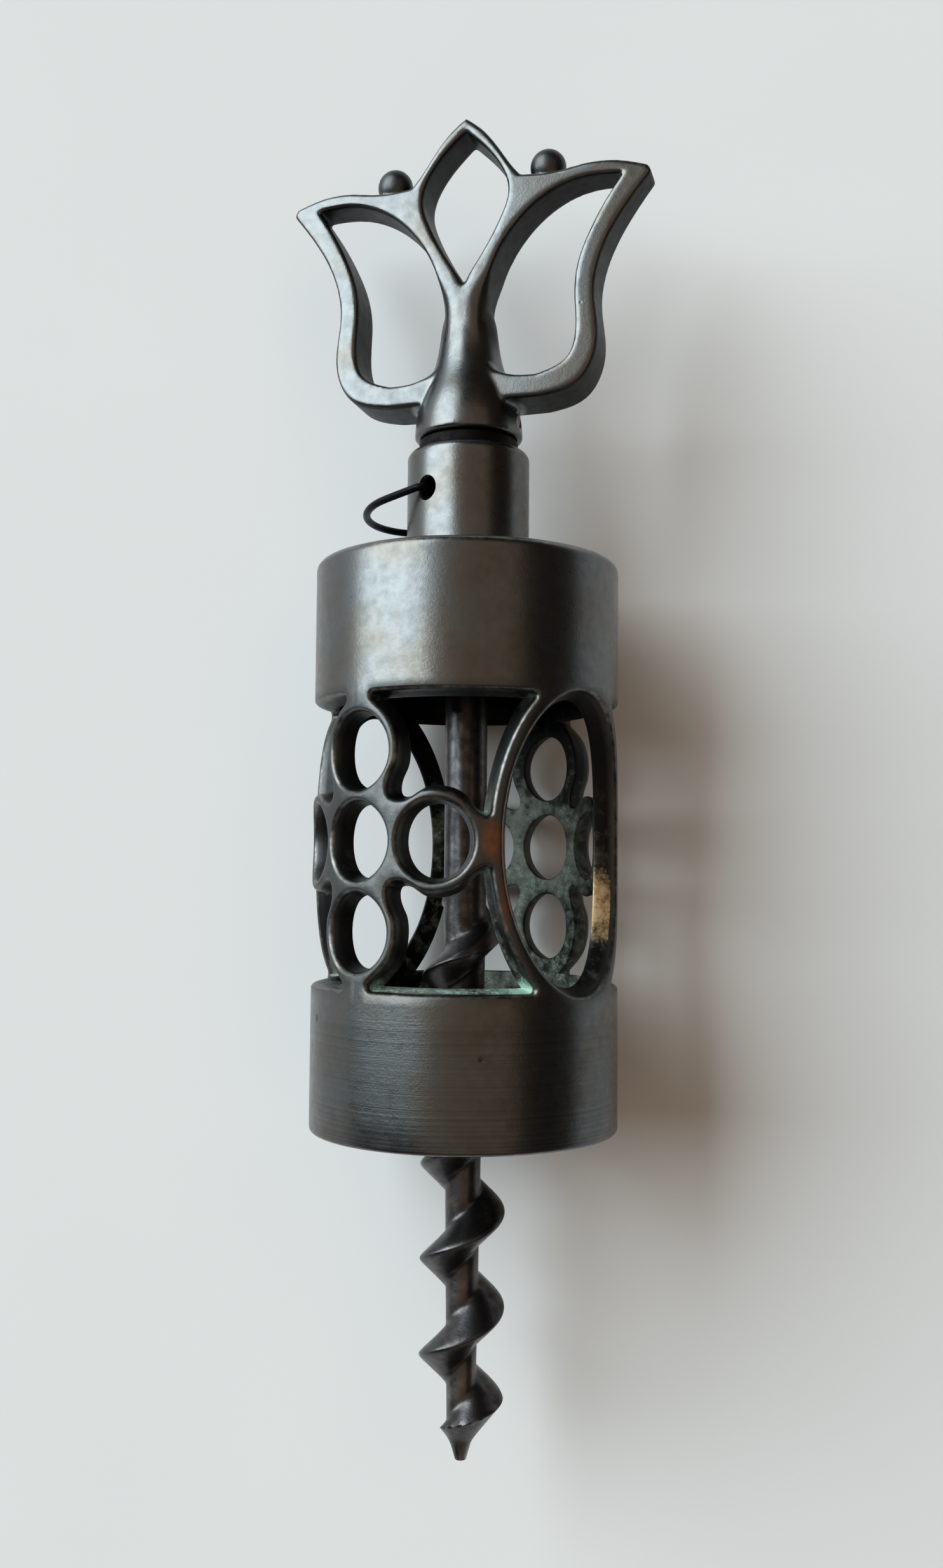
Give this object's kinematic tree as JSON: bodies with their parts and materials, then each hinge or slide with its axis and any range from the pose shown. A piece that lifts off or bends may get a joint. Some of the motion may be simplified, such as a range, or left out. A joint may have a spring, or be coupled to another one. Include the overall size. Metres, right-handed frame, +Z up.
{
  "type": "barrel corkscrew",
  "caption": "Barrel corkscrew: an openwork metal barrel sits on the bottle, a tulip-shaped handle turns the worm, and a small wire bail hangs from the neck.",
  "frame": {"origin": "under the middle of the whole length, on the surface that the barrel lies on", "axes": "+Y along the worm's axis from the tip to the tulip handle, +Z up, +X to the right when seen from above with the handle away from the viewer; the axis is 18 mm above the surface"},
  "size_m": [0.0448, 0.1588, 0.036],
  "materials": {
    "patinated_casting": "satin, dark antique patina",
    "patinated_bush": "satin, dark antique patina",
    "dark_washer": "dull, blackened",
    "worm_steel": "satin, darkened",
    "black_wire": "dull, blackened"
  },
  "bodies": {
    "barrel": {"barrel_frame": "patinated_casting", "neck_collar": "patinated_bush", "thrust_washer": "dark_washer"},
    "spindle": {"tulip_handle": "patinated_casting", "worm_spindle": "worm_steel", "handle_pin": "worm_steel"},
    "bail": {"hang_bail": "black_wire"}
  },
  "joints": [
    {"name": "handle_turn", "type": "hinge", "parent": "barrel", "child": "spindle", "pos_m": [0, 0.03, 0.018], "axis": [0, 1, 0], "continuous": true},
    {"name": "bail_swing", "type": "hinge", "parent": "barrel", "child": "bail", "pos_m": [0, 0.033, 0.018], "axis": [-0.6626, 0, 0.749], "range_deg": [-51, 27]}
  ]
}
